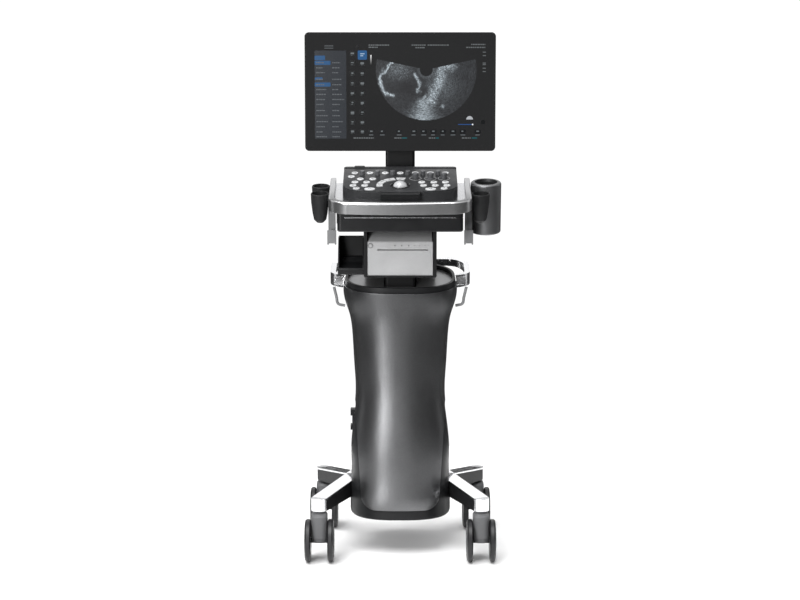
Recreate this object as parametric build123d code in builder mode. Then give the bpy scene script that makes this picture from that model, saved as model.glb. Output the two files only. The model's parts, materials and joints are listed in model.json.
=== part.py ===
from build123d import *
import os
from math import cos, degrees, hypot, pi, radians, sin

# A cart-based ultrasound machine: a four-legged caster base, a moulded column, and a head on a
# lifting post that carries the engine box, the console, the push ring and the monitor.
# Millimetres, +Z up, -Y towards the operator. The origin is on the floor, midway between wheels.

os.makedirs("parts", exist_ok=True)

# ---------------------------------------------------------------- driving dimensions
# Casters and legs
wheel_diameter = 100
wheel_width = 14.2
caster_track = 379
caster_trail = 20
stem_spread = 320
leg_middle_y = 20
caster_body_width = 38
caster_body_length = 60
caster_body_bottom = 47
caster_body_top = 113
stem_radius = 5
leg_width = 38
leg_end_top = 148
leg_end_bottom = 118
leg_root_top = 170
leg_root_bottom = 128
leg_trim_thickness = 4
leg_root_x = 92

# Column: sections are (height, half width, front y, rear y)
base_sections = [
    (86, 116.5, -114.5, 126.5),
    (88.5, 119, -117, 129),
    (93, 120, -118, 130),
    (112, 120, -118, 130),
    (152, 119.6, -118, 129.3),
]
column_sections = [
    (100, 120, -118, 130),
    (157, 119.5, -118, 129),
    (236, 118, -114, 124),
    (314, 110.8, -109, 117),
    (380, 104.2, -104, 110),
    (451, 107.7, -102, 107),
    (528, 112.2, -103, 106),
    (567, 118.5, -105, 107),
    (604, 130, -109, 109),
    (628, 132.5, -112, 110),
    (665, 128, -111, 109),
    (700, 122, -110, 108),
]
column_squareness = 2.65
section_points = 20
skirt_top = 152
shell_wall = 3
cover_stand_off = 2.5
cover_gap = 0.3
cover_bottom = 110.5
cover_corner = 34
rim_tilt = 8.5
rim_front_z = 626
rim_height = 13
rim_wall = 6
tray_thickness = 3

# Lifting post
post_width = 70
post_depth = 100
post_middle_y = -12
post_wall = 4
post_glide_gap = 1
post_bottom = 300
tube_top = 628
chassis_bottom = 124
chassis_floor = 8
chassis_length = 194
chassis_corner = 45
chassis_wall = 8

# Head
cradle_half_width = 84.5
cradle_bottom = 666.5
cradle_front = -120
cradle_rear = 75
cradle_wall = 8
printer_width = 153
printer_height = 79
printer_depth = 182
engine_half_width = 145
engine_bottom = 776
engine_top = 817.6
engine_front = -150
engine_rear = 95

head_tilt = 10
ring_half_width = 165
ring_front = -122
ring_rear = 106
ring_band = 13
ring_height = 28
ring_corner = 48
ring_bow = 6
deck_drop = 12
deck_thickness = 4

panel_tilt = 13
panel_half_width = 133
panel_length = 185
panel_thickness = 3
console_corner = 40
console_rear_corner = 9
rear_strip = 8.5
key_radius = 8
key_rise = 2
key_sink = 5
key_gap = 0.4
key_pitch = 35.5
ball_radius = 17.5
ball_sink = 6
ball_place = (0, 44)

frame_width = 236
frame_depth = 220
frame_wall = 4
pedestal_width = 150
pedestal_depth = 54
pedestal_y = 75

gel_radius = 36
gel_bore = 26.7
liner_wall = 2.8

neck_width = 70
neck_thickness = 24
neck_y = 78
neck_foot_z = 905
hinge_z = 1060
hinge_radius = 13

monitor_width = 450
monitor_bottom = 949.5
monitor_height = 279
monitor_face_y = 20
monitor_edge = 14
monitor_corner = 10
display_width = 406
display_height = 229

running_gap = 0.3

# ---------------------------------------------------------------- shared frames
rim_plane = Plane(
    origin=(0, -115, rim_front_z),
    x_dir=(1, 0, 0),
    z_dir=(0, -sin(radians(rim_tilt)), cos(radians(rim_tilt))),
)
head_plane = Plane(
    origin=(0, -75, 868),
    x_dir=(1, 0, 0),
    z_dir=(0, -sin(radians(head_tilt)), cos(radians(head_tilt))),
)
panel_plane = Plane(
    origin=(0, -150, 869),
    x_dir=(1, 0, 0),
    z_dir=(0, -sin(radians(panel_tilt)), cos(radians(panel_tilt))),
)
facing_front = Plane(origin=(0, 0, 0), x_dir=(1, 0, 0), z_dir=(0, -1, 0))
side_plane = Plane(origin=(0, 0, 0), x_dir=(0, 1, 0), z_dir=(1, 0, 0))


def finish(builder, name):
    """Label a finished piece and write it out under its own name."""
    builder.part.label = name
    export_step(builder.part, f"parts/{name}.step")


def facing(builder, direction):
    """The flat faces of a part whose outward normal is along a direction."""
    direction = Vector(direction)
    flat = builder.faces().filter_by(GeomType.PLANE)
    return [face for face in flat if face.normal_at().dot(direction) > 0.999]


def rim_of(faces):
    """All edges that bound a list of faces."""
    return [edge for face in faces for edge in face.edges()]


def squircle(height, half_width, front, rear, grow):
    """One closed column section: a superellipse, grown outwards by a wall or a gap."""
    middle = (front + rear) / 2
    reach = (rear - front) / 2 + grow
    width = half_width + grow
    turns = [pi * (0.5 + 2 * step / section_points) for step in range(section_points)]
    points = []
    for turn in turns:
        along, across = cos(turn), sin(turn)
        x = width * abs(along) ** (2 / column_squareness) * (1 if along >= 0 else -1)
        y = reach * abs(across) ** (2 / column_squareness) * (1 if across >= 0 else -1)
        points.append((x, middle + y))
    with BuildSketch(Plane.XY.offset(height)) as section:
        with BuildLine():
            Spline(*points, periodic=True)
        make_face()
    return section.sketch


def column_body(sections, grow=0, mode=Mode.ADD, ruled=False):
    """Loft the column's sections into the part that is being built."""
    loft([squircle(*section, grow) for section in sections], ruled=ruled, mode=mode)


def slab(low, high, mode=Mode.INTERSECT):
    """Keep, or cut, what lies between two heights."""
    with BuildSketch(Plane.XY.offset(low)) as layer:
        Rectangle(900, 900)
    extrude(layer.sketch, amount=high - low, mode=mode)


def post_opening(gap, low, high):
    """Cut a vertical rectangular hole round the lifting post."""
    with BuildSketch(Plane.XY.offset(low)) as hole:
        with Locations((0, post_middle_y)):
            Rectangle(post_width + 2 * gap, post_depth + 2 * gap)
    extrude(hole.sketch, amount=high - low, mode=Mode.SUBTRACT)


# ---------------------------------------------------------------- legs and casters
def stem_place(side, end):
    """Where a caster stem stands; side is -1 left or 1 right, end is -1 front or 1 rear."""
    return side * caster_track / 2, leg_middle_y + end * stem_spread / 2


leg_run_x = 77.5
leg_run_y = 155
leg_run = hypot(leg_run_x, leg_run_y)
leg_reach = 200


def leg_planes(side, end):
    """The plan frame and the upright side frame of one leg, both starting at its stem."""
    x, y = stem_place(side, end)
    run = Vector(-side * leg_run_x, -end * leg_run_y, 0).normalized()
    plan = Plane(origin=(x, y, 0), x_dir=run, z_dir=(0, 0, 1))
    upright = Plane(origin=(x, y, 0), x_dir=run, z_dir=(run.Y, -run.X, 0))
    return plan, upright


def leg_top(along):
    return leg_end_top + (leg_root_top - leg_end_top) * along / leg_run


def leg_bottom(along):
    return leg_end_bottom + (leg_root_bottom - leg_end_bottom) * along / leg_run


def leg_beam(upright, low_drop, high_drop, width, mode=Mode.ADD):
    """The tapering beam of a leg, between two depths below its sloping top."""
    bottom_start = leg_bottom(0) if low_drop is None else leg_top(0) - low_drop
    bottom_end = leg_bottom(leg_reach) if low_drop is None else leg_top(leg_reach) - low_drop
    with BuildSketch(upright) as side_view:
        with BuildLine():
            Polyline(
                (0, bottom_start),
                (leg_reach, bottom_end),
                (leg_reach, leg_top(leg_reach) - high_drop),
                (0, leg_top(0) - high_drop),
                close=True,
            )
        make_face()
    extrude(side_view.sketch, amount=width / 2, both=True, mode=mode)


def keep_leg_quarter(side, end):
    """Cut a leg off at the mitre with its neighbour and at the chassis side."""
    with BuildSketch(Plane.XY) as quarter:
        with Locations((side * (leg_root_x + 200), leg_middle_y + end * 200)):
            Rectangle(400, 400)
    extrude(quarter.sketch, amount=400, mode=Mode.INTERSECT)


def leg_cutter(grow):
    """Cut the four leg openings out of a shell."""
    for side in (-1, 1):
        for end in (-1, 1):
            _, upright = leg_planes(side, end)
            with BuildSketch(upright) as side_view:
                with BuildLine():
                    Polyline(
                        (30, leg_bottom(30) - grow),
                        (leg_reach, leg_bottom(leg_reach) - grow),
                        (leg_reach, leg_top(leg_reach) + grow),
                        (30, leg_top(30) + grow),
                        close=True,
                    )
                make_face()
            extrude(side_view.sketch, amount=leg_width / 2 + grow, both=True, mode=Mode.SUBTRACT)


ends = {"front": -1, "rear": 1}
sides = {"left": -1, "right": 1}

for end_name, end in ends.items():
    for side_name, side in sides.items():
        plan, upright = leg_planes(side, end)
        x, y = stem_place(side, end)

        with BuildPart() as leg:
            leg_beam(upright, None, leg_trim_thickness, leg_width)
            with BuildSketch(plan.offset(leg_end_bottom)):
                Circle(15)
            extrude(amount=leg_end_top - leg_trim_thickness - leg_end_bottom)
            keep_leg_quarter(side, end)
            with BuildSketch(plan.offset(leg_end_bottom - 1)):
                Circle(stem_radius + running_gap)
            extrude(amount=24, mode=Mode.SUBTRACT)
        finish(leg, f"leg_{end_name}_{side_name}")

        axle_y = y - caster_trail
        tread = wheel_diameter / 2
        with BuildPart() as caster_body:
            with BuildSketch(Plane.XY.offset(caster_body_bottom)):
                with Locations((x, y - caster_trail / 2)):
                    RectangleRounded(caster_body_width - 4, caster_body_length - 12, 14)
            with BuildSketch(Plane.XY.offset(caster_body_bottom + 12)):
                with Locations((x, y - caster_trail / 2)):
                    RectangleRounded(caster_body_width, caster_body_length, 15)
            loft()
            with BuildSketch(Plane.XY.offset(caster_body_bottom + 12)):
                with Locations((x, y - caster_trail / 2)):
                    RectangleRounded(caster_body_width, caster_body_length, 15)
            extrude(amount=caster_body_top - caster_body_bottom - 12)
            fillet(rim_of(facing(caster_body, (0, 0, 1))), 6)
            with BuildSketch(Plane.XY.offset(caster_body_top - 1)):
                with Locations((x, y)):
                    Circle(16)
            extrude(amount=leg_end_bottom - running_gap - caster_body_top + 1)
            with BuildSketch(Plane.XY.offset(caster_body_top)):
                with Locations((x, y)):
                    Circle(stem_radius)
            extrude(amount=leg_end_bottom + 20 - caster_body_top)
            with BuildSketch(side_plane.offset(x - 40)):
                with Locations((axle_y, tread)):
                    Circle(6 + running_gap)
            extrude(amount=80, mode=Mode.SUBTRACT)
        finish(caster_body, f"caster_body_{end_name}_{side_name}")

        inner = caster_body_width / 2 + 0.8
        outer = inner + wheel_width
        with BuildPart() as wheels:
            with BuildSketch(side_plane.offset(x - outer + 3)):
                with Locations((axle_y, tread)):
                    Circle(6)
            extrude(amount=2 * outer - 6)
            for hand in (-1, 1):
                with BuildSketch(Plane(origin=(x, axle_y, tread), x_dir=(1, 0, 0), z_dir=(0, -1, 0))):
                    with BuildLine():
                        Polyline(
                            (hand * inner, 5),
                            (hand * inner, tread - 4),
                            (hand * (inner + 2.5), tread),
                            (hand * (outer - 4.5), tread),
                            (hand * (outer - 1.2), tread - 3),
                            (hand * outer, tread - 9),
                            (hand * (outer - 2.5), tread - 10),
                            (hand * (outer - 3.5), 17),
                            (hand * (outer - 1), 15),
                            (hand * (outer - 1), 5),
                            close=True,
                        )
                    make_face()
                revolve(axis=Axis((x, axle_y, tread), (1, 0, 0)))
        finish(wheels, f"caster_wheels_{end_name}_{side_name}")

# One polished trim per leg: a plate along the top that turns down into the rounded end cap.
with BuildPart() as leg_trims:
    for end in ends.values():
        for side in sides.values():
            plan, upright = leg_planes(side, end)
            with BuildSketch(plan.offset(leg_end_bottom)):
                Circle(leg_width / 2)
            extrude(amount=leg_end_top - leg_end_bottom)
            with BuildSketch(plan.offset(leg_end_bottom)):
                Circle(15)
            extrude(amount=leg_end_top - leg_trim_thickness - leg_end_bottom, mode=Mode.SUBTRACT)
            leg_beam(upright, None, 0, leg_width, Mode.SUBTRACT)
            leg_beam(upright, leg_trim_thickness, 0, leg_width)
    with BuildSketch(Plane.XY):
        for side in sides.values():
            with Locations((side * (leg_root_x + 200), 0)):
                Rectangle(400, 900)
    extrude(amount=400, mode=Mode.INTERSECT)
    with BuildSketch(Plane.XY):
        with Locations((0, leg_middle_y)):
            Rectangle(900, 0.4)
    extrude(amount=400, mode=Mode.SUBTRACT)
finish(leg_trims, "leg_trims")

# ---------------------------------------------------------------- column
with BuildPart() as chassis:
    with BuildSketch(Plane.XY.offset(chassis_bottom)):
        with Locations((0, leg_middle_y)):
            RectangleRounded(2 * leg_root_x, chassis_length, chassis_corner)
    extrude(amount=leg_root_top - chassis_bottom)
    with BuildSketch(Plane.XY.offset(chassis_bottom + chassis_floor)):
        with Locations((0, leg_middle_y)):
            RectangleRounded(
                2 * (leg_root_x - chassis_wall),
                chassis_length - 2 * chassis_wall,
                chassis_corner - chassis_wall,
            )
    extrude(amount=60, mode=Mode.SUBTRACT)
finish(chassis, "chassis")

with BuildPart() as base_skirt:
    column_body(base_sections, ruled=True)
    raised = [(height + shell_wall, *rest) for height, *rest in base_sections]
    column_body(raised, -shell_wall, Mode.SUBTRACT, ruled=True)
    leg_cutter(0.6)
finish(base_skirt, "base_skirt")

vent_pitch = 9
with BuildPart() as rear_shell:
    column_body(column_sections)
    column_body(column_sections, -shell_wall, Mode.SUBTRACT)
    slab(skirt_top + 0.4, 720)
    split(bisect_by=rim_plane.offset(-0.2), keep=Keep.BOTTOM)
    leg_cutter(0.6)
    with BuildSketch(Plane(origin=(0, 90, 0), x_dir=(-1, 0, 0), z_dir=(0, 1, 0))):
        with Locations((0, 260)):
            with GridLocations(0, vent_pitch, 1, 9):
                SlotOverall(110, 3.6)
        with Locations((0, 186)):
            Rectangle(58, 30)
    extrude(amount=60, mode=Mode.SUBTRACT)
finish(rear_shell, "rear_shell")

with BuildPart() as front_cover:
    with BuildSketch(facing_front.offset(4)) as cover_outline:
        with BuildLine():
            Polyline(
                (-180, 700),
                (-180, 366),
                (-107, 356),
                (-91, cover_bottom),
                (91, cover_bottom),
                (107, 356),
                (180, 366),
                (180, 700),
                close=True,
            )
        make_face()
        fillet(cover_outline.vertices().group_by(Axis.Y)[0], cover_corner)
    extrude(amount=200)
    column_body(column_sections, cover_stand_off, Mode.INTERSECT)
    column_body(column_sections, cover_gap, Mode.SUBTRACT)
    split(bisect_by=rim_plane.offset(-0.2), keep=Keep.BOTTOM)
finish(front_cover, "front_cover")

with BuildPart() as column_rim:
    column_body(column_sections[-5:])
    column_body(column_sections[-5:], -rim_wall, Mode.SUBTRACT)
    split(bisect_by=rim_plane, keep=Keep.TOP)
    split(bisect_by=rim_plane.offset(rim_height), keep=Keep.BOTTOM)
finish(column_rim, "column_rim")

with BuildPart() as top_tray:
    column_body(column_sections[-5:], -rim_wall - 0.2)
    split(bisect_by=rim_plane, keep=Keep.TOP)
    split(bisect_by=rim_plane.offset(tray_thickness), keep=Keep.BOTTOM)
    post_opening(3, 600, 700)
finish(top_tray, "top_tray")

with BuildPart() as cord_wrap_hook:
    with BuildSketch(side_plane.offset(-120)):
        with Locations((40, 300)):
            Rectangle(26, 50)
    extrude(amount=20)
    with BuildSketch(side_plane.offset(-116)):
        with Locations((40, 298)):
            Rectangle(30, 24)
    extrude(amount=-4, mode=Mode.SUBTRACT)
    column_body(column_sections, 0.2, Mode.SUBTRACT)
finish(cord_wrap_hook, "cord_wrap_hook")

with BuildPart() as power_inlet:
    inlet_back = Plane(origin=(0, 112, 186), x_dir=(-1, 0, 0), z_dir=(0, 1, 0))
    with BuildSketch(inlet_back):
        Rectangle(57, 29)
    extrude(amount=19)
    with BuildSketch(inlet_back.offset(19)):
        with Locations((-10, 0)):
            RectangleRounded(24, 18, 3)
        with Locations((17, 0)):
            Rectangle(14, 20)
    extrude(amount=-16, mode=Mode.SUBTRACT)
    with BuildSketch(inlet_back.offset(3)):
        with Locations((-10, 3), (-17, -3), (-3, -3)):
            Rectangle(2.2, 4.5)
    extrude(amount=8)
    with BuildSketch(inlet_back.offset(3)):
        with Locations((17, 0)):
            Rectangle(12, 18)
    extrude(amount=17)
finish(power_inlet, "power_inlet")

with BuildPart() as power_supply:
    with BuildSketch(Plane.XY.offset(leg_root_top + 6)):
        with Locations((0, 76)):
            RectangleRounded(130, 44, 5)
    extrude(amount=150)
    fillet(rim_of(facing(power_supply, (0, 0, 1))), 2)
finish(power_supply, "power_supply")

# ---------------------------------------------------------------- loop handle and cord hooks
handle_half = 166.5
handle_band = 13
with BuildPart() as loop_handle:
    with BuildSketch(Plane.XY.offset(600)):
        with Locations((0, 66)):
            RectangleRounded(2 * handle_half, 182, 52)
        with Locations((0, 66)):
            RectangleRounded(2 * (handle_half - handle_band), 156, 39, mode=Mode.SUBTRACT)
        with Locations((0, -60)):
            Rectangle(400, 70, mode=Mode.SUBTRACT)
    extrude(amount=120)
    with BuildSketch(side_plane):
        with BuildLine():
            Polyline(
                (-26, 632),
                (-22, 629),
                (10, 632),
                (120, 652),
                (160, 664),
                (160, 680),
                (120, 671),
                (10, 661),
                (-22, 659),
                (-26, 656),
                close=True,
            )
        make_face()
    extrude(amount=200, both=True, mode=Mode.INTERSECT)
    with BuildSketch(Plane.XY.offset(635)):
        for side in sides.values():
            with Locations((side * 139, -8)):
                Rectangle(32, 26)
    extrude(amount=19)
    column_body(column_sections, cover_stand_off + 0.1, Mode.SUBTRACT)
finish(loop_handle, "loop_handle")

with BuildPart() as cord_hooks:
    for side in sides.values():
        with BuildLine():
            hook_line = FilletPolyline(
                (side * 157, -14, 629.5),
                (side * 151, -14, 604),
                (side * 149, -14, 588),
                (side * 131, -14, 585),
                radius=9,
            )
        with BuildSketch(Plane(origin=hook_line @ 0, z_dir=hook_line % 0)):
            Circle(3.4)
        sweep()
finish(cord_hooks, "cord_hooks")

# ---------------------------------------------------------------- lifting post
with BuildPart() as lift_tube:
    with BuildSketch(Plane.XY.offset(chassis_bottom + chassis_floor)):
        with Locations((0, post_middle_y)):
            outer_gap = 2 * (post_glide_gap + post_wall)
            RectangleRounded(post_width + outer_gap, post_depth + outer_gap, 8)
            RectangleRounded(
                post_width + 2 * post_glide_gap, post_depth + 2 * post_glide_gap, 6,
                mode=Mode.SUBTRACT,
            )
    extrude(amount=tube_top - chassis_bottom - chassis_floor)
finish(lift_tube, "lift_tube")

with BuildPart() as lift_post:
    with BuildSketch(Plane.XY.offset(post_bottom)):
        with Locations((0, post_middle_y)):
            RectangleRounded(post_width, post_depth, 5)
            RectangleRounded(
                post_width - 2 * post_wall, post_depth - 2 * post_wall, 3, mode=Mode.SUBTRACT
            )
    extrude(amount=cradle_bottom - post_bottom)
    with BuildSketch(Plane.XY.offset(cradle_bottom - 6)):
        with Locations((0, post_middle_y)):
            Rectangle(post_width - post_wall, post_depth - post_wall)
    extrude(amount=6)
finish(lift_post, "lift_post")

spring_foot = chassis_bottom + chassis_floor
with BuildPart() as gas_spring_cylinder:
    with BuildSketch(Plane.XY.offset(spring_foot)):
        with Locations((0, post_middle_y)):
            Circle(14)
    extrude(amount=268)
    with BuildSketch(Plane.XY.offset(spring_foot + 8)):
        with Locations((0, post_middle_y)):
            Circle(11.5)
    extrude(amount=252, mode=Mode.SUBTRACT)
    with BuildSketch(Plane.XY.offset(spring_foot + 260)):
        with Locations((0, post_middle_y)):
            Circle(5 + running_gap)
    extrude(amount=8, mode=Mode.SUBTRACT)
finish(gas_spring_cylinder, "gas_spring_cylinder")

with BuildPart() as gas_spring_rod:
    with BuildSketch(Plane.XY.offset(spring_foot + 22)):
        with Locations((0, post_middle_y)):
            Circle(11.2)
    extrude(amount=16)
    with BuildSketch(Plane.XY.offset(spring_foot + 30)):
        with Locations((0, post_middle_y)):
            Circle(5)
    extrude(amount=cradle_bottom - 6 - spring_foot - 30)
finish(gas_spring_rod, "gas_spring_rod")

# ---------------------------------------------------------------- printer bay and engine box
with BuildPart() as printer_cradle:
    with BuildSketch(facing_front.offset(-cradle_rear)):
        with Locations((0, (cradle_bottom + engine_bottom) / 2)):
            Rectangle(2 * cradle_half_width, engine_bottom - cradle_bottom)
    extrude(amount=cradle_rear - cradle_front)
    with BuildSketch(facing_front.offset(-cradle_rear + 5)):
        with Locations((0, (cradle_bottom + 4 + engine_bottom - 3) / 2)):
            Rectangle(2 * (cradle_half_width - cradle_wall), engine_bottom - cradle_bottom - 7)
    extrude(amount=cradle_rear - cradle_front, mode=Mode.SUBTRACT)
    corner_edges = printer_cradle.edges().filter_by(Axis.Y).group_by(Axis.Z)[0]
    fillet([edge for edge in corner_edges if abs(edge.center().X) > 80], 4)
finish(printer_cradle, "printer_cradle")

printer_bottom = cradle_bottom + 4
printer_front = cradle_front + 2
hood_width = printer_width - 5
hood_run = 44
hood_rise = 22
with BuildPart() as printer:
    with BuildSketch(facing_front.offset(-printer_front - printer_depth)):
        with Locations((0, printer_bottom + printer_height / 2)):
            Rectangle(printer_width - 1, printer_height)
    extrude(amount=printer_depth)
    fillet(rim_of(facing(printer, (0, -1, 0))), 1.5)
    hood_foot = printer_bottom + printer_height
    with BuildSketch(side_plane.offset(-hood_width / 2)):
        with BuildLine():
            Polyline(
                (printer_front + 2, hood_foot - 1),
                (printer_front + 2, hood_foot + 1),
                (printer_front + hood_run, hood_foot + hood_rise),
                (printer_front + printer_depth, hood_foot + hood_rise),
                (printer_front + printer_depth, hood_foot - 1),
                close=True,
            )
        make_face()
    extrude(amount=hood_width)
    with BuildSketch(facing_front.offset(-printer_front)):
        with Locations((6, printer_bottom + 60)):
            SlotOverall(118, 2.6)
    extrude(amount=-14, mode=Mode.SUBTRACT)
    with BuildSketch(facing_front.offset(-printer_front)):
        with Locations((-68.8, printer_bottom + 70)):
            Circle(4.7)
    extrude(amount=-5, mode=Mode.SUBTRACT)
    with BuildSketch(facing_front.offset(-printer_front)):
        with Locations((27, printer_bottom + 70)):
            with GridLocations(15.2, 0, 6, 1):
                Circle(2)
    extrude(amount=0.5)
finish(printer, "printer")

with BuildPart() as printer_power_button:
    with BuildSketch(facing_front.offset(-printer_front)):
        with Locations((-68.8, printer_bottom + 70)):
            Circle(4.4)
    extrude(amount=-2.6)
    with BuildSketch(facing_front.offset(-printer_front)):
        with Locations((-68.8, printer_bottom + 70)):
            Circle(4.4)
    extrude(amount=1.6)
    fillet(rim_of(facing(printer_power_button, (0, -1, 0))), 0.6)
finish(printer_power_button, "printer_power_button")

bin_left = -145
bin_bottom = 672
bin_top = 753
with BuildPart() as accessory_bin:
    bin_width = -cradle_half_width - bin_left
    with BuildSketch(side_plane.offset(bin_left)):
        with BuildLine():
            Polyline(
                (-116, bin_bottom + 3),
                (-113, bin_bottom),
                (-20, bin_bottom),
                (-20, bin_top),
                (-40, bin_top),
                (-62, bin_top),
                (-116, bin_bottom + 12),
                close=True,
            )
        make_face()
    extrude(amount=bin_width)
    with BuildSketch(side_plane.offset(bin_left + 3)):
        with BuildLine():
            Polyline(
                (-113, bin_bottom + 7),
                (-50, bin_bottom + 21),
                (-40, bin_bottom + 32),
                (-23, bin_bottom + 34),
                (-23, bin_top + 20),
                (-113, bin_top + 20),
                close=True,
            )
        make_face()
    extrude(amount=bin_width - 6, mode=Mode.SUBTRACT)
finish(accessory_bin, "accessory_bin")

with BuildPart() as engine_box:
    with BuildSketch(Plane.XY.offset(engine_bottom)):
        with Locations((0, (engine_front + engine_rear) / 2)):
            RectangleRounded(2 * engine_half_width, engine_rear - engine_front, 8)
    extrude(amount=engine_top - engine_bottom)
    chamfer(rim_of(facing(engine_box, (0, 0, -1))), 3)
    with BuildSketch(Plane.XY.offset(engine_top - 10)):
        with Locations((0, (engine_front + engine_rear) / 2)):
            RectangleRounded(2 * engine_half_width, engine_rear - engine_front, 8)
            RectangleRounded(
                2 * engine_half_width - 3, engine_rear - engine_front - 3, 7, mode=Mode.SUBTRACT
            )
    extrude(amount=2.4, mode=Mode.SUBTRACT)
    with BuildSketch(Plane(origin=(0, engine_rear, 797), x_dir=(-1, 0, 0), z_dir=(0, 1, 0))):
        with GridLocations(9, 0, 18, 1):
            SlotOverall(18, 3.5, rotation=90)
    extrude(amount=-6, mode=Mode.SUBTRACT)
finish(engine_box, "engine_box")

port_middle_z = 796
with BuildPart() as probe_ports:
    with BuildSketch(side_plane.offset(-engine_half_width)):
        with Locations((22, port_middle_z)):
            with GridLocations(62, 0, 2, 1):
                RectangleRounded(54, 26, 4)
    extrude(amount=-4.5)
    with BuildSketch(side_plane.offset(-engine_half_width - 4.5)):
        with Locations((22, port_middle_z)):
            with GridLocations(62, 0, 2, 1):
                RectangleRounded(42, 15, 3)
    extrude(amount=3.5, mode=Mode.SUBTRACT)
finish(probe_ports, "probe_ports")

# ---------------------------------------------------------------- deck, ring and what hangs on it
def ring_outline(inset):
    """Half round the console: straight sides, round corners and a slightly bowed front."""
    half = ring_half_width - inset
    corner = ring_corner - inset
    front = ring_front + inset
    with BuildLine() as outline:
        left = Line((-half, ring_rear), (-half, front + corner + ring_bow))
        bow = ThreePointArc(
            (-half + corner, front + ring_bow),
            (0, front),
            (half - corner, front + ring_bow),
        )
        right = Line((half, front + corner + ring_bow), (half, ring_rear))
        RadiusArc(left @ 1, bow @ 0, -corner)
        RadiusArc(bow @ 1, right @ 0, -corner)
        Line(right @ 1, left @ 0)
    make_face(outline.edges())


with BuildPart() as push_ring:
    with BuildSketch(head_plane.offset(-ring_height)):
        ring_outline(0)
    extrude(amount=ring_height)
    fillet(rim_of(facing(push_ring, head_plane.z_dir)), 5)
    with BuildSketch(head_plane.offset(-ring_height - 1)):
        ring_outline(ring_band)
        with Locations((0, ring_rear)):
            Rectangle(2 * (ring_half_width - ring_band), 20)
    extrude(amount=ring_height + 2, mode=Mode.SUBTRACT)
    with BuildSketch(Plane(origin=head_plane.origin, x_dir=head_plane.y_dir, z_dir=(1, 0, 0))):
        with BuildLine():
            Polyline(
                (ring_rear - 40, -ring_height - 1),
                (ring_rear + 10, -ring_height - 1),
                (ring_rear + 10, -6),
                close=True,
            )
        make_face()
    extrude(amount=200, both=True, mode=Mode.SUBTRACT)
finish(push_ring, "push_ring")

with BuildPart() as deck_plate:
    with BuildSketch(head_plane.offset(-deck_drop - deck_thickness)):
        ring_outline(ring_band)
        with Locations((0, ring_rear)):
            Rectangle(400, 16, mode=Mode.SUBTRACT)
    extrude(amount=deck_thickness)
finish(deck_plate, "deck_plate")

deck_under = head_plane.offset(-deck_drop - deck_thickness)
with BuildPart() as frame_hollow:
    with BuildSketch(Plane.XY.offset(engine_top + frame_wall)):
        with Locations((0, -20)):
            RectangleRounded(frame_width - 2 * frame_wall, frame_depth - 2 * frame_wall, 10)
    extrude(amount=120)
    split(bisect_by=deck_under.offset(-frame_wall), keep=Keep.BOTTOM)

with BuildPart() as head_frame:
    with BuildSketch(Plane.XY.offset(engine_top)):
        with Locations((0, -20)):
            RectangleRounded(frame_width, frame_depth, 14)
    extrude(amount=120)
    split(bisect_by=deck_under, keep=Keep.BOTTOM)
    with BuildSketch(Plane.XY.offset(engine_top)):
        with Locations((0, pedestal_y)):
            RectangleRounded(pedestal_width, pedestal_depth, 12)
    extrude(amount=neck_foot_z - 2 - engine_top)
    fillet(facing(head_frame, (0, 0, 1))[0].edges(), 6)
    add(frame_hollow.part, mode=Mode.SUBTRACT)
    with BuildSketch(Plane.XY.offset(engine_top + frame_wall)):
        with Locations((0, pedestal_y)):
            RectangleRounded(pedestal_width - 2 * frame_wall, pedestal_depth - 2 * frame_wall, 8)
    extrude(amount=neck_foot_z - 2 - 2 * frame_wall - engine_top, mode=Mode.SUBTRACT)
finish(head_frame, "head_frame")

hook_x = 159.5
hook_width = 17
hook_y = -60
with BuildPart() as cable_hooks:
    for side in sides.values():
        with BuildSketch(side_plane.offset(side * hook_x - hook_width / 2)):
            with Locations((hook_y, 798)):
                Rectangle(3, 86)
            with Locations((hook_y - 13, 755)):
                Circle(14.5)
                Circle(11.5, mode=Mode.SUBTRACT)
            with Locations((hook_y - 13, 772)):
                Rectangle(23, 34, mode=Mode.SUBTRACT)
            with Locations((hook_y - 26, 764)):
                Rectangle(3, 18)
            with Locations((hook_y, 770)):
                Rectangle(3, 34)
        extrude(amount=hook_width)
        with BuildSketch(side_plane.offset(side * hook_x - 10.5)):
            with Locations((hook_y - 26, 756)):
                Rectangle(5, 33)
        extrude(amount=21)
        with BuildSketch(side_plane.offset(side * hook_x - 7)):
            with Locations((hook_y - 26, 741.5)):
                Rectangle(9, 5)
        extrude(amount=14, mode=Mode.SUBTRACT)
    split(bisect_by=head_plane.offset(-ring_height), keep=Keep.BOTTOM)
finish(cable_hooks, "cable_hooks")

holder_x = 187
holder_height = 70
holder_drop = 9


def probe_cup(side, along):
    """A tapered cup with a round bottom, held at the outer side of the push ring."""
    bottom = -holder_drop - holder_height
    profile = [
        (0, bottom),
        (8, bottom),
        (14.5, bottom + 7),
        (17.5, bottom + 22),
        (20.6, bottom + 48),
        (21.3, -holder_drop - 2),
        (20.3, -holder_drop),
        (19, -holder_drop),
        (18, bottom + 48),
        (15, bottom + 22),
        (11.5, bottom + 9),
        (7, bottom + 3.5),
        (0, bottom + 3.5),
    ]
    centre = head_plane.from_local_coords((side * holder_x, along, 0))
    axis_plane = Plane(origin=centre, x_dir=(1, 0, 0), z_dir=-head_plane.y_dir)
    with BuildSketch(axis_plane) as half_section:
        with BuildLine():
            Polyline(*profile, close=True)
        make_face()
    revolve(half_section.sketch, axis=Axis(centre, head_plane.z_dir))
    with BuildSketch(head_plane.offset(-ring_height + 3)) as tab:
        with Locations((side * (ring_half_width + 3.4), along)):
            Rectangle(6.8, 20)
        with Locations((side * holder_x, along)):
            Circle(18, mode=Mode.SUBTRACT)
    extrude(tab.sketch, amount=14)


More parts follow.
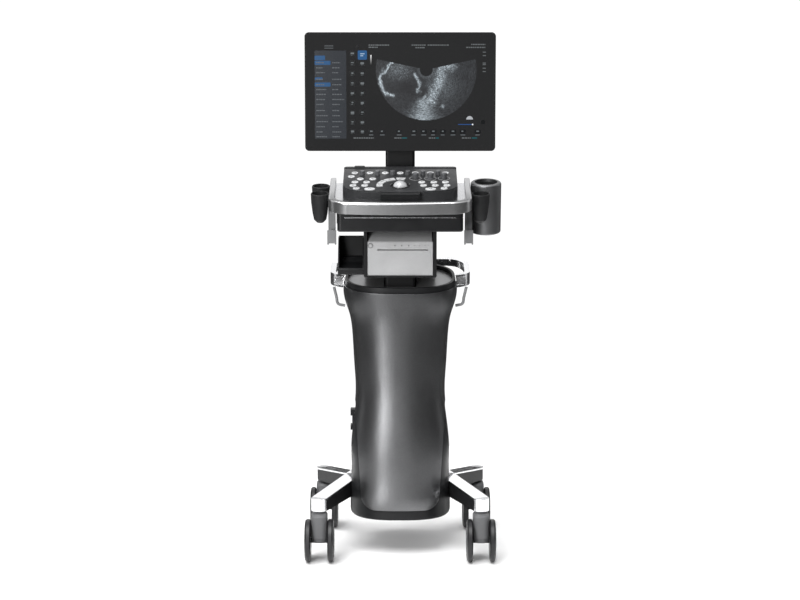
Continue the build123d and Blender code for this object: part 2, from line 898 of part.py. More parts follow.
holder_places = {"left_front": (-1, -3), "left_rear": (-1, 63), "right": (1, -6)}
for holder_name, (side, along) in holder_places.items():
    with BuildPart() as probe_holder:
        probe_cup(side, along)
    finish(probe_holder, f"probe_holder_{holder_name}")

gel_x = 202
gel_along = 58
gel_height = 122
gel_top = 2
gel_lip = 7
gel_floor = 8
liner_floor = 4
with BuildPart() as gel_warmer:
    with BuildSketch(head_plane.offset(gel_top - gel_height)):
        with Locations((gel_x, gel_along)):
            Circle(gel_radius)
    extrude(amount=gel_height)
    fillet(rim_of(facing(gel_warmer, head_plane.z_dir)), 5)
    fillet(rim_of(facing(gel_warmer, -head_plane.z_dir)), 4)
    with BuildSketch(head_plane.offset(gel_top)):
        with Locations((gel_x, gel_along)):
            Circle(gel_bore + running_gap)
    extrude(amount=-gel_height + gel_floor, mode=Mode.SUBTRACT)
    with BuildSketch(head_plane.offset(gel_top - gel_lip)):
        with Locations((gel_x, gel_along)):
            Circle(gel_bore + liner_wall + 0.2)
    extrude(amount=-gel_height + gel_floor + gel_lip, mode=Mode.SUBTRACT)
finish(gel_warmer, "gel_warmer")

with BuildPart() as gel_liner:
    with BuildSketch(head_plane.offset(gel_top - gel_height + gel_floor)):
        with Locations((gel_x, gel_along)):
            Circle(gel_bore + liner_wall)
    extrude(amount=gel_height - gel_floor - gel_lip)
    with BuildSketch(head_plane.offset(gel_top)):
        with Locations((gel_x, gel_along)):
            Circle(gel_bore)
    extrude(amount=-gel_height + gel_floor + liner_floor, mode=Mode.SUBTRACT)
finish(gel_liner, "gel_liner")

# ---------------------------------------------------------------- console
def console_outline(inset):
    """Small round corners at the rear and large ones at the front, whose edge bows slightly."""
    half = panel_half_width - inset
    rear = panel_length - inset
    corner = console_rear_corner - inset
    with BuildLine() as outline:
        left = Line((-half, rear - corner), (-half, console_corner + 6))
        front = ThreePointArc(
            (-half + console_corner, 7 + inset),
            (0, inset),
            (half - console_corner, 7 + inset),
        )
        right = Line((half, console_corner + 6), (half, rear - corner))
        RadiusArc(left @ 1, front @ 0, -console_corner - 3)
        RadiusArc(front @ 1, right @ 0, -console_corner - 3)
        back = Line((half - corner, rear), (-half + corner, rear))
        RadiusArc(right @ 1, back @ 0, -corner)
        RadiusArc(back @ 1, left @ 0, -corner)
    make_face(outline.edges())


soft_key_places = [((step - 3) * key_pitch, 137) for step in range(7)]
soft_knob_places = [((step - 2.5) * key_pitch, 122) for step in range(6)]
dial_places = {"gain": (35.5, 97), "select": (70.5, 97), "depth": (102, 97)}
left_key_places = [
    (-114, 109), (-93, 91), (-64, 91), (-105, 67), (-78, 67), (-109, 43), (-82, 43), (-101, 22),
]
right_key_places = [(50, 67), (78, 67), (105, 67), (54, 43), (81, 43), (108, 43), (101, 22)]
wide_key_x = 70
wide_key_along = 17
wide_key_size = (25, 17)
arc_key_radius = 48
arc_key_width = 14
arc_key_spans = [(169, 190), (140, 164), (105, 135), (76, 100)]
soft_knob_radius = 6
dial_radius = 7.4


def arc_key(start, stop, grow):
    """A key that follows a circle round the trackball, between two angles in degrees."""
    low = arc_key_radius - arc_key_width / 2 - grow
    high = arc_key_radius + arc_key_width / 2 + grow
    spread = degrees(grow / arc_key_radius)
    angles = [radians(start - spread), radians((start + stop) / 2), radians(stop + spread)]
    x, y = ball_place

    def point(radius, angle):
        return x + radius * cos(angle), y + radius * sin(angle)

    with BuildLine() as outline:
        ThreePointArc(*[point(low, angle) for angle in angles])
        Line(point(low, angles[2]), point(high, angles[2]))
        ThreePointArc(*[point(high, angle) for angle in reversed(angles)])
        Line(point(high, angles[0]), point(low, angles[0]))
    make_face(outline.edges())


with BuildPart() as console_panel:
    with BuildSketch(panel_plane.offset(-panel_thickness)):
        console_outline(1.5)
    extrude(amount=panel_thickness)
    fillet(rim_of(facing(console_panel, panel_plane.z_dir)), 1)
    with BuildSketch(panel_plane.offset(1)):
        with Locations(*soft_key_places, *left_key_places, *right_key_places):
            Circle(key_radius + key_gap)
        with Locations((-wide_key_x, wide_key_along), (wide_key_x, wide_key_along)):
            Ellipse(wide_key_size[0] / 2 + key_gap, wide_key_size[1] / 2 + key_gap)
        with Locations(*soft_knob_places, *dial_places.values()):
            Circle(3.5)
        with Locations(ball_place):
            Circle(ball_radius + 0.5)
        with Locations((0, panel_length)):
            Rectangle(2 * panel_half_width, 2 * rear_strip)
    extrude(amount=-panel_thickness - 2, mode=Mode.SUBTRACT)
    for start, stop in arc_key_spans:
        with BuildSketch(panel_plane.offset(1)):
            arc_key(start, stop, key_gap)
        extrude(amount=-panel_thickness - 2, mode=Mode.SUBTRACT)
finish(console_panel, "console_panel")

deck_top = head_plane.offset(-deck_drop)
with BuildPart() as console_housing:
    with BuildSketch(panel_plane.offset(-80)):
        console_outline(0)
    extrude(amount=80 - panel_thickness)
    split(bisect_by=deck_top, keep=Keep.TOP)
    with BuildSketch(panel_plane.offset(-16)):
        console_outline(3.2)
        with Locations(ball_place):
            Circle(ball_radius + 5, mode=Mode.SUBTRACT)
    extrude(amount=30, mode=Mode.SUBTRACT)
    with BuildSketch(panel_plane.offset(-ball_sink)):
        with Locations(ball_place):
            Circle(ball_radius + 0.6)
    extrude(amount=10, mode=Mode.SUBTRACT)
    ball_centre = panel_plane.from_local_coords((*ball_place, -ball_sink))
    with Locations(ball_centre):
        Sphere(ball_radius + 0.6, mode=Mode.SUBTRACT)
    with BuildSketch(panel_plane.offset(-16)):
        with Locations((0, panel_length - rear_strip / 2)):
            Rectangle(2 * panel_half_width, rear_strip)
    extrude(amount=17.5)
    with BuildSketch(panel_plane.offset(-90)):
        console_outline(0)
    extrude(amount=100, mode=Mode.INTERSECT)
    with BuildSketch(panel_plane.offset(-6)):
        with Locations((-96, panel_length - rear_strip / 2)):
            SlotOverall(24, 7)
    extrude(amount=10)
finish(console_housing, "console_housing")

with BuildPart() as palm_rest:
    with BuildSketch(panel_plane.offset(-22)):
        with Locations((0, -3)):
            Rectangle(90, 22)
    extrude(amount=21.4)
    with BuildSketch(panel_plane.offset(-60)):
        console_outline(-0.15)
    extrude(amount=59, mode=Mode.SUBTRACT)
    with BuildSketch(panel_plane.offset(-panel_thickness - 0.1)):
        console_outline(1.3)
    extrude(amount=10, mode=Mode.SUBTRACT)
    split(bisect_by=deck_top.offset(0.2), keep=Keep.TOP)
    fillet(facing(palm_rest, panel_plane.z_dir)[0].edges().sort_by(Axis.Y)[0], 2.5)
finish(palm_rest, "palm_rest")

with BuildPart() as trackball:
    with Locations(ball_centre):
        Sphere(ball_radius)
finish(trackball, "trackball")


def key_bank(name, places, wide_place=None):
    """A bank of round keys, and one wide oval key if it has one, with rounded tops."""
    with BuildPart() as bank:
        with BuildSketch(panel_plane.offset(-key_sink)):
            with Locations(*places):
                Circle(key_radius)
            if wide_place:
                with Locations(wide_place):
                    Ellipse(wide_key_size[0] / 2, wide_key_size[1] / 2)
        extrude(amount=key_sink + key_rise)
        fillet(rim_of(facing(bank, panel_plane.z_dir)), 1)
    finish(bank, name)


key_bank("soft_keys", soft_key_places)
key_bank("left_keys", left_key_places, (-wide_key_x, wide_key_along))
key_bank("right_keys", right_key_places, (wide_key_x, wide_key_along))

with BuildPart() as arc_keys:
    for start, stop in arc_key_spans:
        with BuildSketch(panel_plane.offset(-key_sink)):
            arc_key(start, stop, 0)
        extrude(amount=key_sink + key_rise)
    fillet(rim_of(facing(arc_keys, panel_plane.z_dir)), 0.4)
finish(arc_keys, "arc_keys")


def knob(place, radius, height):
    """A round knob with softened edges on a thin shaft through the panel."""
    with BuildSketch(panel_plane.offset(0.6)) as grip:
        with Locations(place):
            Circle(radius)
    extrude(grip.sketch, amount=height, taper=2)
    with BuildSketch(panel_plane.offset(-10)) as shaft:
        with Locations(place):
            Circle(2.5)
    extrude(shaft.sketch, amount=11)


with BuildPart() as soft_knobs:
    for place in soft_knob_places:
        knob(place, soft_knob_radius, 11)
    fillet(rim_of(facing(soft_knobs, panel_plane.z_dir)), 1)
finish(soft_knobs, "soft_knobs")

for dial_name, place in dial_places.items():
    with BuildPart() as dial:
        knob(place, dial_radius, 13)
        fillet(rim_of(facing(dial, panel_plane.z_dir)), 1)
        if dial_name == "select":
            with BuildSketch(panel_plane.offset(0.6)):
                with Locations(place):
                    Circle(dial_radius + 2.8)
            extrude(amount=2.4)
    finish(dial, f"{dial_name}_dial")

# ---------------------------------------------------------------- neck and monitor
pin_radius = 4
ear_inner = neck_width / 2 + 1
ear_outer = ear_inner + 6
with BuildPart() as monitor_neck:
    with BuildSketch(Plane.XY.offset(neck_foot_z - 2 + running_gap)):
        with Locations((0, neck_y)):
            Circle(22)
    extrude(amount=6)
    with BuildSketch(Plane.XY.offset(neck_foot_z)):
        with Locations((0, neck_y)):
            RectangleRounded(neck_width, neck_thickness, 6)
    extrude(amount=hinge_z - neck_foot_z)
    with BuildSketch(side_plane.offset(-neck_width / 2)):
        with Locations((neck_y, hinge_z)):
            Circle(hinge_radius)
    extrude(amount=neck_width)
    with BuildSketch(side_plane.offset(-ear_outer - 1)):
        with Locations((neck_y, hinge_z)):
            Circle(pin_radius)
    extrude(amount=2 * (ear_outer + 1))
finish(monitor_neck, "monitor_neck")

monitor_middle_z = monitor_bottom + monitor_height / 2
shell_back_y = 50
monitor_front = Plane(
    origin=(0, monitor_face_y, monitor_middle_z), x_dir=(1, 0, 0), z_dir=(0, -1, 0)
)
plate_y = 56
with BuildPart() as monitor_bracket:
    with BuildSketch(monitor_front.offset(monitor_face_y - shell_back_y)):
        with Locations((0, hinge_z - monitor_middle_z)):
            RectangleRounded(118, 118, 8)
    extrude(amount=shell_back_y - plate_y)
    with BuildSketch(monitor_front.offset(monitor_face_y - shell_back_y)):
        with Locations((0, hinge_z - monitor_middle_z)):
            with GridLocations(100, 100, 2, 2):
                Circle(2.3)
    extrude(amount=-20, mode=Mode.SUBTRACT)
    for side in sides.values():
        ear_plane = side_plane.offset(side * (ear_inner + ear_outer) / 2)
        with BuildSketch(ear_plane):
            with Locations(((plate_y + neck_y) / 2, hinge_z)):
                Rectangle(neck_y - plate_y, 26)
            with Locations((neck_y, hinge_z)):
                Circle(13)
        extrude(amount=(ear_outer - ear_inner) / 2, both=True)
        with BuildSketch(ear_plane):
            with Locations((neck_y, hinge_z)):
                Circle(pin_radius + running_gap)
        extrude(amount=10, both=True, mode=Mode.SUBTRACT)
finish(monitor_bracket, "monitor_bracket")

with BuildPart() as monitor_shell:
    with BuildSketch(monitor_front.offset(-2)):
        RectangleRounded(monitor_width, monitor_height, monitor_corner)
    extrude(amount=2 - monitor_edge)
    with BuildSketch(monitor_front.offset(-monitor_edge)):
        RectangleRounded(monitor_width - 14, monitor_height - 14, monitor_corner)
    with BuildSketch(monitor_front.offset(monitor_face_y - shell_back_y)):
        with Locations((0, hinge_z - monitor_middle_z)):
            RectangleRounded(300, 180, 20)
    loft()
    with BuildSketch(monitor_front.offset(-2)):
        RectangleRounded(display_width + 12, display_height + 12, 3)
    extrude(amount=-monitor_edge + 4, mode=Mode.SUBTRACT)
    with BuildSketch(monitor_front.offset(monitor_face_y - shell_back_y)):
        for row in (-1, 1):
            with Locations((0, hinge_z - monitor_middle_z + row * 74)):
                with GridLocations(10, 0, 16, 1):
                    SlotOverall(12, 3, rotation=90)
    extrude(amount=6, mode=Mode.SUBTRACT)
finish(monitor_shell, "monitor_shell")

with BuildPart() as front_glass:
    with BuildSketch(monitor_front.offset(-2)):
        RectangleRounded(monitor_width, monitor_height, monitor_corner)
    extrude(amount=2)
    fillet(rim_of(facing(front_glass, (0, -1, 0))), 0.8)
finish(front_glass, "front_glass")

with BuildPart() as display_panel:
    with BuildSketch(monitor_front.offset(-2)):
        Rectangle(display_width + 10, display_height + 10)
    extrude(amount=-8)
finish(display_panel, "display_panel")
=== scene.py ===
import json
import math
import random

import bmesh
import bpy
from mathutils import Matrix, Vector, noise


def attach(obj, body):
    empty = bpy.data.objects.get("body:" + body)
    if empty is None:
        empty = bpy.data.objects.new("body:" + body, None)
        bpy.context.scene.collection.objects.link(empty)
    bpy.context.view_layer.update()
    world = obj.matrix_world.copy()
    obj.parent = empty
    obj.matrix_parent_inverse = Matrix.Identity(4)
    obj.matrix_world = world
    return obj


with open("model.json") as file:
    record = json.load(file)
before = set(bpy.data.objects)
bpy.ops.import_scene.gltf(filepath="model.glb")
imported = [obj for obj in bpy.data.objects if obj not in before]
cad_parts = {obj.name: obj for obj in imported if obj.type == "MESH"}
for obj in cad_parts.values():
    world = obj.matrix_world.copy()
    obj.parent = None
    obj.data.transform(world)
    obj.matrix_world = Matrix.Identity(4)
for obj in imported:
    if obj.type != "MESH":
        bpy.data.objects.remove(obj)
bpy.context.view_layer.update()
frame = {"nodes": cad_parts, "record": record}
MM = 0.001

CAMERA_PLACE = (-0.0005, -4.8506, 1.3094)
CAMERA_PITCH = -8.366
CAMERA_LENS = 92.6

# The room's brightness against height: 0 is straight down, 0.5 the horizon and 1 straight up.
ROOM_LEVELS = ((0.0, 0.25), (0.42, 0.06), (0.5, 0.03), (0.60, 0.04), (0.76, 0.40), (1.0, 0.55))
FLOOR_RADIUS = 1.1

# The softboxes: name, place, aim, width, height and power.
SOFTBOXES = (
    ("key_strip", (-1.35, -3.5, 1.2), (0, 0, 0.7), 1.0, 2.6, 95),
    ("rear_screen", (0, 3.2, 1.9), (0, 0, 0.7), 4.0, 2.0, 22),
    ("left_strip", (-2.8, 0.6, 1.4), (0, 0, 0.8), 0.8, 2.4, 7),
    ("right_strip", (2.8, 0.9, 1.4), (0, 0, 0.8), 0.8, 2.4, 7),
)

# Every random choice, which is only in the screen's words and the keys' signs, comes from here.
dice = random.Random(7)


# ---------------------------------------------------------------- camera, light and floor
def make_camera():
    """The camera stands in front of the machine, a little above the console, and looks slightly down."""
    data = bpy.data.cameras.new("camera")
    data.sensor_width = 36
    data.lens = CAMERA_LENS
    data.clip_end = 200
    camera = bpy.data.objects.new("camera", data)
    camera.location = CAMERA_PLACE
    camera.rotation_euler = (math.radians(90 + CAMERA_PITCH), 0, 0)
    bpy.context.scene.collection.objects.link(camera)
    bpy.context.scene.camera = camera


def make_softbox(name, place, aim, width, height, power):
    """A rectangular lamp that the camera itself doesn't see."""
    data = bpy.data.lights.new(name, "AREA")
    data.shape = "RECTANGLE"
    data.size = width
    data.size_y = height
    data.energy = power
    light = bpy.data.objects.new(name, data)
    light.location = place
    direction = Vector(aim) - Vector(place)
    light.rotation_euler = direction.to_track_quat("-Z", "Y").to_euler()
    bpy.context.scene.collection.objects.link(light)
    light.visible_camera = False


def make_sun(name, elevation, heading, strength, spread):
    """A very wide sun, which lights the floor evenly and leaves a soft shadow under the machine."""
    data = bpy.data.lights.new(name, "SUN")
    data.energy = strength
    data.angle = math.radians(spread)
    light = bpy.data.objects.new(name, data)
    light.rotation_euler = (math.radians(90 - elevation), 0, math.radians(heading))
    bpy.context.scene.collection.objects.link(light)


def make_world():
    """The camera sees plain white; surfaces are lit by a dim room with a bright ceiling."""
    world = bpy.data.worlds.new("studio")
    bpy.context.scene.world = world
    world.use_nodes = True
    tree = world.node_tree
    tree.nodes.clear()
    output = tree.nodes.new("ShaderNodeOutputWorld")
    mix = tree.nodes.new("ShaderNodeMixShader")
    seen = tree.nodes.new("ShaderNodeBackground")
    seen.inputs["Color"].default_value = (1, 1, 1, 1)
    seen.inputs["Strength"].default_value = 1.05
    room = tree.nodes.new("ShaderNodeBackground")
    rays = tree.nodes.new("ShaderNodeLightPath")
    place = tree.nodes.new("ShaderNodeTexCoord")
    split = tree.nodes.new("ShaderNodeSeparateXYZ")
    ramp = tree.nodes.new("ShaderNodeValToRGB")
    stops = ramp.color_ramp.elements
    stops[0].position = 0.0
    stops[1].position = 1.0
    for position, level in ROOM_LEVELS:
        stop = stops.new(position)
        stop.color = (level, level, level * 1.01, 1)
    stops.remove(stops[0])
    stops.remove(stops[-1])
    height = tree.nodes.new("ShaderNodeMath")
    height.operation = "MULTIPLY_ADD"
    height.inputs[1].default_value = 0.5
    height.inputs[2].default_value = 0.5
    tree.links.new(place.outputs["Generated"], split.inputs[0])
    tree.links.new(split.outputs["Z"], height.inputs[0])
    tree.links.new(height.outputs[0], ramp.inputs[0])
    tree.links.new(ramp.outputs[0], room.inputs["Color"])
    tree.links.new(rays.outputs["Is Camera Ray"], mix.inputs[0])
    tree.links.new(room.outputs[0], mix.inputs[1])
    tree.links.new(seen.outputs[0], mix.inputs[2])
    tree.links.new(mix.outputs[0], output.inputs[0])


def make_floor():
    mesh = bmesh.new()
    bmesh.ops.create_circle(mesh, cap_ends=True, segments=96, radius=FLOOR_RADIUS)
    data = bpy.data.meshes.new("floor")
    mesh.to_mesh(data)
    mesh.free()
    floor = bpy.data.objects.new("floor", data)
    bpy.context.scene.collection.objects.link(floor)
    surface = Surface("studio_floor", (0.93, 0.93, 0.93), 0.9)
    surface.set("Specular IOR Level", 0.1)
    data.materials.append(surface.material)


# ---------------------------------------------------------------- materials
class Surface:
    """A principled material with helpers for the grain, brushing and relief of a real finish."""

    def __init__(self, name, color, roughness, metallic=0.0):
        self.material = bpy.data.materials.new(name)
        self.material.use_nodes = True
        self.tree = self.material.node_tree
        self.shader = self.tree.nodes["Principled BSDF"]
        self.color = color
        self.set("Base Color", (*color, 1))
        self.set("Roughness", roughness)
        self.set("Metallic", metallic)
        self.relief = None
        self.paint = None
        self.material.diffuse_color = (*color, 1)

    def set(self, socket, value):
        self.shader.inputs[socket].default_value = value
        return self

    def node(self, kind, **inputs):
        made = self.tree.nodes.new(kind)
        for key, value in inputs.items():
            made.inputs[key.replace("_", " ")].default_value = value
        return made

    def link(self, output, target):
        self.tree.links.new(output, target)

    def coordinates(self, stretch=(1, 1, 1)):
        place = self.node("ShaderNodeTexCoord")
        mapping = self.node("ShaderNodeMapping")
        mapping.inputs["Scale"].default_value = stretch
        self.link(place.outputs["Object"], mapping.inputs["Vector"])
        return mapping.outputs[0]

    def noise(self, scale, detail=3.0, stretch=(1, 1, 1), rough=0.5):
        made = self.node("ShaderNodeTexNoise", Scale=scale, Detail=detail, Roughness=rough)
        self.link(self.coordinates(stretch), made.inputs["Vector"])
        return made.outputs["Fac"]

    def cells(self, scale):
        made = self.node("ShaderNodeTexVoronoi", Scale=scale)
        self.link(self.coordinates(), made.inputs["Vector"])
        return made.outputs["Distance"]

    def remap(self, value, low, high, from_low=0.0, from_high=1.0):
        made = self.node("ShaderNodeMapRange")
        ends = {"From Min": from_low, "From Max": from_high, "To Min": low, "To Max": high}
        for name, number in ends.items():
            made.inputs[name].default_value = number
        self.link(value, made.inputs["Value"])
        return made.outputs[0]

    def product(self, first, second):
        made = self.node("ShaderNodeMath")
        made.operation = "MULTIPLY"
        self.link(first, made.inputs[0])
        self.link(second, made.inputs[1])
        return made.outputs[0]

    def two_tone(self, value, first, second):
        """A colour that runs from the first to the second as the value goes from 0 to 1."""
        blend = self.node("ShaderNodeMix")
        blend.data_type = "RGBA"
        blend.inputs[6].default_value = (*first, 1)
        blend.inputs[7].default_value = (*second, 1)
        self.link(value, blend.inputs[0])
        return blend.outputs[2]

    def mottle(self, value, darker, lighter, from_low=0.3, from_high=0.7):
        """The base colour runs between two shades of itself."""
        if self.paint is None:
            dark = [shade * darker for shade in self.color]
            light = [min(1.0, shade * lighter) for shade in self.color]
            self.paint = self.two_tone(self.remap(value, 0, 1, from_low, from_high), dark, light)
        else:
            blend = self.node("ShaderNodeMix")
            blend.data_type = "RGBA"
            blend.blend_type = "MULTIPLY"
            blend.inputs[0].default_value = 1.0
            self.link(self.paint, blend.inputs[6])
            self.link(self.remap(value, darker, lighter, from_low, from_high), blend.inputs[7])
            self.paint = blend.outputs[2]
        self.link(self.paint, self.shader.inputs["Base Color"])
        return self

    def sheen_of(self, value, low, high, from_low=0.3, from_high=0.7):
        """The roughness runs between two values."""
        shade = self.remap(value, low, high, from_low, from_high)
        self.link(shade, self.shader.inputs["Roughness"])
        return self

    def bump(self, height, distance, strength=1.0):
        made = self.node("ShaderNodeBump", Strength=strength, Distance=distance)
        self.link(height, made.inputs["Height"])
        if self.relief is not None:
            self.link(self.relief, made.inputs["Normal"])
        self.relief = made.outputs[0]
        self.link(self.relief, self.shader.inputs["Normal"])
        return self

    def soften_edges(self, radius):
        """Sharp corners catch the light as a real moulded edge does. It comes before any bump."""
        made = self.node("ShaderNodeBevel", Radius=radius)
        made.samples = 6
        self.relief = made.outputs[0]
        self.link(self.relief, self.shader.inputs["Normal"])


def moulded(name, color, roughness, grain=1400, depth=0.00005, specular=0.35, edge=0.0008):
    """Moulded plastic: a fine spark-eroded grain, soft edges, and a faint unevenness in tone and gloss."""
    surface = Surface(name, color, roughness)
    surface.set("Specular IOR Level", specular)
    surface.soften_edges(edge)
    surface.mottle(surface.noise(9, 4), 0.86, 1.14)
    surface.mottle(surface.noise(grain, 2), 0.9, 1.1)
    surface.sheen_of(surface.noise(30, 5), roughness * 0.85, roughness * 1.2)
    surface.bump(surface.noise(grain, 2), depth, 0.6)
    return surface


def coated(name, color, roughness, metallic=0.0, grain=900, depth=0.00006, specular=0.4, edge=0.0008):
    """Powder coat or textured paint: a pebbled relief with a little sparkle."""
    surface = Surface(name, color, roughness, metallic)
    surface.set("Specular IOR Level", specular)
    surface.soften_edges(edge)
    surface.mottle(surface.noise(6, 3), 0.9, 1.1)
    surface.mottle(surface.cells(grain), 0.8, 1.2, 0.1, 0.7)
    surface.sheen_of(surface.noise(grain * 0.7, 3), roughness * 0.85, roughness * 1.15)
    surface.bump(surface.cells(grain), depth, 0.7)
    return surface


def brushed(name, color, roughness, stretch, depth=0.00001, edge=0.0005):
    """Bright metal with a satin brushing along one direction."""
    surface = Surface(name, color, roughness, 1.0)
    surface.soften_edges(edge)
    lines = surface.noise(2600, 2, stretch, 0.6)
    surface.mottle(lines, 0.92, 1.06)
    surface.mottle(surface.noise(5, 2), 0.94, 1.06)
    surface.sheen_of(lines, roughness * 0.9, roughness * 1.12)
    surface.bump(lines, depth * 0.3, 0.25)
    return surface


def make_materials():
    """One finish for each material slot of the record."""
    made = {}
    cover = coated("cover_paint", (0.145, 0.1465, 0.15), 0.34, 1.0, 1100, 0.00008, 0.4, 0.0015)
    cover.mottle(cover.noise(2600, 1), 0.8, 1.2)
    made["cover_grey"] = cover
    made["shell_dark"] = moulded("shell_plastic", (0.012, 0.0123, 0.0133), 0.32, 1300, 0.00003, 0.25)
    made["black_plastic"] = moulded("black_plastic", (0.010, 0.0103, 0.011), 0.42, 1500, 0.00005, 0.2)
    made["black_metal"] = coated("powder_coat", (0.009, 0.0092, 0.0098), 0.40, 0.0, 1000, 0.00005, 0.2)
    polished = Surface("polished_metal", (0.88, 0.885, 0.9), 0.07, 1.0)
    polished.soften_edges(0.0012)
    polished.mottle(polished.noise(4, 3), 0.95, 1.03)
    polished.sheen_of(polished.noise(45, 6), 0.14, 0.28)
    polished.bump(polished.noise(240, 3), 0.000004, 0.4)
    made["polished"] = polished
    made["satin_silver"] = brushed("satin_metal", (0.66, 0.665, 0.68), 0.26, (0.04, 1, 1))
    made["ring_metal"] = brushed("ring_metal", (0.55, 0.553, 0.56), 0.30, (0.04, 1, 1))
    made["caster_grey"] = moulded("caster_nylon", (0.10, 0.101, 0.104), 0.48, 1100, 0.00006, 0.3)
    made["tread_black"] = moulded("wheel_rubber", (0.011, 0.011, 0.012), 0.36, 600, 0.00004, 0.4)
    made["tray_grey"] = coated("tray_paint", (0.33, 0.333, 0.34), 0.34, 0.6, 1300, 0.00003)
    made["printer_silver"] = moulded("printer_plastic", (0.44, 0.442, 0.446), 0.36, 1600, 0.00003, 0.3)
    made["hook_grey"] = moulded("hook_nylon", (0.20, 0.202, 0.206), 0.42, 1200, 0.00005, 0.4)
    made["holder_grey"] = moulded("holder_plastic", (0.017, 0.0173, 0.018), 0.5, 1300, 0.00006, 0.25)
    made["warmer_grey"] = brushed("warmer_metal", (0.20, 0.202, 0.207), 0.46, (1, 1, 0.03))
    made["steel"] = brushed("bright_steel", (0.6, 0.6, 0.61), 0.25, (1, 1, 0.1))
    made["panel_black"] = moulded("console_plastic", (0.026, 0.0265, 0.028), 0.38, 1500, 0.00003, 0.3)
    key = moulded("key_silicone", (0.50, 0.507, 0.515), 0.38, 900, 0.00002, 0.5, 0.0006)
    key.set("Subsurface Weight", 0.15)
    key.set("Subsurface Radius", (0.002, 0.002, 0.002))
    key.set("Subsurface Scale", 0.5)
    made["key_white"] = key
    made["knob_grey"] = moulded("knob_plastic", (0.085, 0.087, 0.092), 0.34, 1200, 0.00003, 0.5)
    ball = Surface("pearl_resin", (0.42, 0.424, 0.435), 0.12)
    ball.mottle(ball.noise(55, 6), 0.82, 1.1, 0.35, 0.65)
    ball.sheen_of(ball.noise(300, 3), 0.06, 0.16)
    ball.set("Coat Weight", 0.8)
    made["ball_pearl"] = ball
    made["polished_dark"] = moulded("ring_gloss", (0.012, 0.012, 0.013), 0.12, 900, 0.00001, 0.6)
    glass = Surface("front_glass", (0.022, 0.0222, 0.0228), 0.06)
    glass.set("Specular IOR Level", 0.5)
    glass.mottle(glass.noise(3, 2), 0.92, 1.08)
    glass.sheen_of(glass.noise(14, 5), 0.03, 0.10)
    made["glass_black"] = glass
    made["display"] = moulded("display_film", (0.02, 0.022, 0.026), 0.3)
    made["electronics"] = moulded("casing_grey", (0.12, 0.13, 0.13), 0.5)
    return {slot: surface.material for slot, surface in made.items()}


def dress_nodes(materials):
    """Every CAD node takes the finish of its material slot; the push ring has a darker metal of its own."""
    slots = {part["node"]: part["material_slot"] for part in frame["record"]["subparts"]}
    for name, node in frame["nodes"].items():
        node.data.materials.clear()
        finish = "ring_metal" if name == "push_ring" else slots[name]
        node.data.materials.append(materials[finish])


# ---------------------------------------------------------------- building pieces
def add_piece(name, mesh, body, material, smooth=False):
    """Turn a filled bmesh into a piece that moves with a body."""
    data = bpy.data.meshes.new(name)
    bmesh.ops.recalc_face_normals(mesh, faces=mesh.faces)
    mesh.to_mesh(data)
    mesh.free()
    for face in data.polygons:
        face.use_smooth = smooth
    data.materials.append(material)
    piece = bpy.data.objects.new(name, data)
    bpy.context.scene.collection.objects.link(piece)
    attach(piece, body)
    return piece


def block(mesh, place, low, high):
    """A box between two corners of a local frame."""
    corners = [
        mesh.verts.new(place @ Vector((x, y, z)))
        for z in (low[2], high[2])
        for y in (low[1], high[1])
        for x in (low[0], high[0])
    ]
    for face in ((0, 2, 3, 1), (4, 5, 7, 6), (0, 1, 5, 4), (2, 6, 7, 3), (0, 4, 6, 2), (1, 3, 7, 5)):
        mesh.faces.new([corners[index] for index in face])


def turned(mesh, place, profile, steps=48):
    """A profile of (radius, height) points, turned round the local Z axis and closed on itself."""
    rings = []
    for radius, height in profile:
        ring = []
        for step in range(steps):
            turn = 2 * math.pi * step / steps
            spot = Vector((radius * math.cos(turn), radius * math.sin(turn), height))
            ring.append(mesh.verts.new(place @ spot))
        rings.append(ring)
    for inner, outer in zip(rings, rings[1:] + rings[:1]):
        for step in range(steps):
            after = (step + 1) % steps
            mesh.faces.new((inner[step], inner[after], outer[after], outer[step]))


def local_frame(origin, across, along):
    """A frame from its origin and its first two directions."""
    across, along = Vector(across).normalized(), Vector(along).normalized()
    up = across.cross(along)
    columns = Matrix((across, along, up)).transposed().to_4x4()
    return Matrix.Translation(Vector(origin)) @ columns


def islands(node):
    """The separate solids of a CAD node, as lists of vertex places."""
    parent = list(range(len(node.data.vertices)))

    def root(index):
        while parent[index] != index:
            parent[index] = parent[parent[index]]
            index = parent[index]
        return index

    seen = {}
    for vertex in node.data.vertices:
        key = tuple(round(value, 6) for value in vertex.co)
        parent[vertex.index] = seen.setdefault(key, vertex.index)
    for edge in node.data.edges:
        parent[root(edge.vertices[0])] = root(edge.vertices[1])
    groups = {}
    for vertex in node.data.vertices:
        groups.setdefault(root(vertex.index), []).append(vertex.co.copy())
    return [groups[key] for key in sorted(groups)]


# ---------------------------------------------------------------- the picture on the screen
SCREEN_LEFT, SCREEN_TOP, SCREEN_FACE = -0.225, 1.2285, 0.020
LAYER = 0.00012
SCAN_MIDDLE = (286.3, 87.6)
SCAN_INNER, SCAN_OUTER, SCAN_HALF_ANGLE = 15.0, 118.7, 102
SCAN_TURNS, SCAN_REACHES = 300, 150
WORD_GAP = 1.1
BODY_MARK = (388.8, 204.4)
BODY_MARK_RADIUS = 8
BODY_MARK_STEPS = 16


def on_screen(across, down, layer):
    """A place on the screen from its distance right of and below the monitor's top left corner, in mm."""
    return Vector((SCREEN_LEFT + across * MM, SCREEN_FACE - layer * LAYER, SCREEN_TOP - down * MM))


